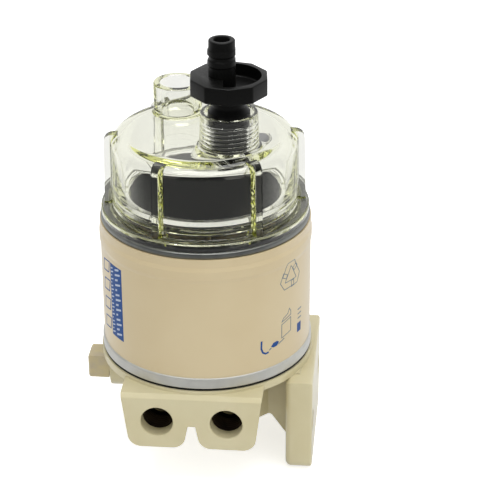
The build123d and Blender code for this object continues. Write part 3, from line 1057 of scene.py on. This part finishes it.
# %% [markdown]
# Each shape of the print is a few corners. A corner says how far round the can it lies and how
# high. Degrees, which count from the +X side of the can, say where a shape is, and millimetres
# say how it looks. A row of bars has a left edge, a width, a step and a height, and the widths
# follow a short pattern, so that the rows look like lines of print.

# %% Print on the can
BLOCK = (-147.0, -135.4, 11.8, 42.3)
SMALL_BLOCK = (-25.2, -21.0, 12.8, 16.6)
SLANTED_FEET = (12.0, 20.0, 28.0, 36.0)
SLANTED = ((0.0, 0.0), (6.4, 1.2), (7.2, 6.4), (0.8, 5.2))
HOOK = ((-48.6, 11.2), (-50.6, 11.0), (-52.4, 11.8), (-53.4, 13.6), (-53.2, 16.8))
TIP = ((-2.0, -0.1), (-0.8, -0.8), (1.0, -0.6), (2.0, 0.7), (1.0, 1.4), (-0.8, 1.2))
BENT = ((-5.0, 0.6), (-2.2, 5.9), (1.9, 6.1), (4.3, 2.6), (2.0, 1.2), (0.0, 3.7), (-2.6, -0.7))
BENT_MIDDLE = (-31.8, 39.4)
DASH_FEET = (18.4, 20.3, 22.2)
BAR_LENGTHS = (1.0, 0.55, 1.0, 0.8, 0.35)
BAR_LEAN = 0.3
BAR_LIFT = 0.05
BARS_FOOT, BARS_TOP = 13.0, 41.4
BAR_ROWS = ((-146.2, 1.8, 1.5, 0.55), (-141.6, 3.3, 2.1, 0.8))


def blue_print():
    shapes = [block(*BLOCK)]
    shapes += [hollow(moved(SLANTED, along(-158.0), foot), line=0.5) for foot in SLANTED_FEET]
    shapes.append(band([(along(turn), z) for turn, z in HOOK], line=0.75))
    shapes.append(flat(moved(TIP, along(-44.2), 13.2)))
    shapes.append(block(*SMALL_BLOCK))
    wrap("blue_print", shapes, "blue_ink")


def bent_piece(angle):
    turn = Matrix.Rotation(angle, 2)
    middle = Vector((along(BENT_MIDDLE[0]), BENT_MIDDLE[1]))
    return hollow([tuple(middle + turn @ Vector(corner)) for corner in BENT], line=0.28)


def grey_outlines():
    shapes = [bent_piece(math.radians(turn)) for turn in (0, 120, 240)]
    left, right = along(-39.5), along(-31.5)
    side = [(left, 14.6), (right, 16.0), (right, 22.0), (left, 20.6)]
    roof = [(left, 21.4), (right, 22.8), (right, 24.4), (right - 1.0, 26.0), (right - 2.2, 24.0)]
    roof.append((left + 1.0, 23.0))
    shapes += [hollow(side, line=0.3), hollow(roof, line=0.3)]
    spout = [(left + 1.6, 14.2), (left - 0.6, 13.4), (left - 1.6, 12.9)]
    link = [(along(-46.8), 12.6), (along(-48.2), 11.9)]
    shapes += [band(spout, line=0.4), band(link, line=0.5)]
    shapes += [block(-24.6, -20.6, foot, foot + 0.5) for foot in DASH_FEET]
    wrap("grey_outlines", shapes, "grey_ink")


def white_bars():
    shapes = []
    for left, width, step, tall in BAR_ROWS:
        z = BARS_FOOT
        count = 0
        while z + tall < BARS_TOP:
            reach = width * BAR_LENGTHS[count % len(BAR_LENGTHS)]
            lean = BAR_LEAN * reach
            bar = [(0, 0), (reach, lean), (reach, lean + tall), (0, tall)]
            shapes.append(flat(moved(bar, along(left), z)))
            z += step
            count += 1
    wrap("white_bars", shapes, "white_ink", lift=BAR_LIFT)


blue_print()
grey_outlines()
white_bars()

# %% [markdown]
# The two front ports are tapped. Past the painted mouth, a thin sleeve with a thread inside lines
# the deep part of each bore of the casting. The thread is real, but the sleeve's near-black colour
# is painted shade, the darkness deep in the bore.

# %% Tapped front ports, with painted shade deep inside
SLEEVE_OUTER = 6.08
SLEEVE_INNER = 5.0
SLEEVE_LENGTH = 8.4
SLEEVE_MOUTH = -37.45
SLEEVE_FLOOR = 0.4
PASSAGE = 3.9
THREAD_INNER = 5.35
THREAD_OUTER = 5.95
THREAD_PITCH = 1.41
SLEEVE_STEPS = 96
TAP_STEPS = 64


def port_sleeve(name, port):
    tap = (THREAD_INNER, THREAD_OUTER, THREAD_PITCH, SLEEVE_FLOOR, SLEEVE_LENGTH + 1)
    rod = threaded_rod("port thread", *tap, steps=TAP_STEPS)
    shell = [(PASSAGE, 0), (SLEEVE_OUTER, 0), (SLEEVE_OUTER, SLEEVE_LENGTH)]
    shell += [(SLEEVE_INNER, SLEEVE_LENGTH), (SLEEVE_INNER, SLEEVE_FLOOR), (PASSAGE, SLEEVE_FLOOR)]
    sleeve = combine(lathe(name, shell, SLEEVE_STEPS), rod, "DIFFERENCE")
    inner_end = Vector((port.x, SLEEVE_MOUTH + SLEEVE_LENGTH, port.z)) * MM
    sleeve.data.transform(Matrix.Translation(inner_end) @ Matrix.Rotation(math.pi / 2, 4, "X"))
    smooth(sleeve, degrees=30)
    place(sleeve, "tapped_metal_as_shade", "head", "turned_steel")


for side in ("left", "right"):
    port_sleeve(f"port_thread_{side}", ports[f"front_port_{side}"])
